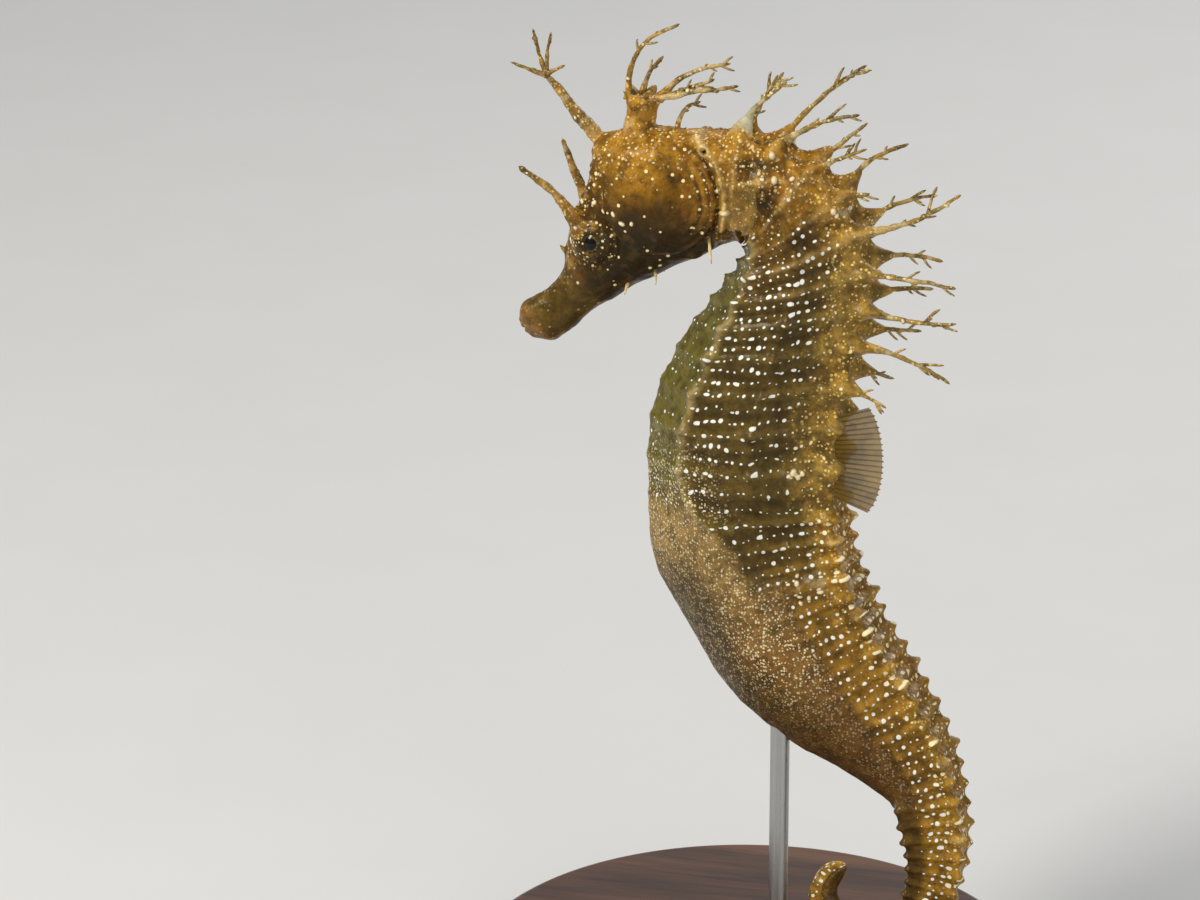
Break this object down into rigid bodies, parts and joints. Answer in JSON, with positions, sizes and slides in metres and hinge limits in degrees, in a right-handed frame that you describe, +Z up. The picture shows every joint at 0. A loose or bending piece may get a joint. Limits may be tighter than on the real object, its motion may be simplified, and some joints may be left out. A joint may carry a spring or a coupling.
{
  "type": "seahorse model on a display stand",
  "caption": "Life-size long-snouted seahorse with skin filaments and a coiled tail, held upright by two rods on a round base.",
  "frame": {"origin": "on the underside of the stand's base, under the animal's middle plane", "axes": "+Z up; the head faces -X, the back faces +X, the animal's left side faces -Y"},
  "size_m": [0.074, 0.074, 0.1266],
  "materials": {
    "skin": "wet golden-brown skin with pale dots",
    "eye": "glossy, dark pupil in a gold-flecked iris",
    "fin": "thin pale membrane with fine rays",
    "stand_wood": "dark satin lacquer",
    "stand_steel": "brushed"
  },
  "bodies": {
    "root": {"snout": "skin", "head": "skin", "coronet": "skin", "neck": "skin", "trunk_upper": "skin", "trunk_lower": "skin", "pouch": "skin", "tail_1": "skin", "tail_2": "skin", "tail_3": "skin", "tail_4": "skin", "eye_left": "eye", "eye_right": "eye", "fin_dorsal": "fin", "fin_pectoral_left": "fin", "fin_pectoral_right": "fin", "stand_base": "stand_wood", "stand_rod_pouch": "stand_steel", "stand_rod_tail": "stand_steel"}
  },
  "joints": []
}
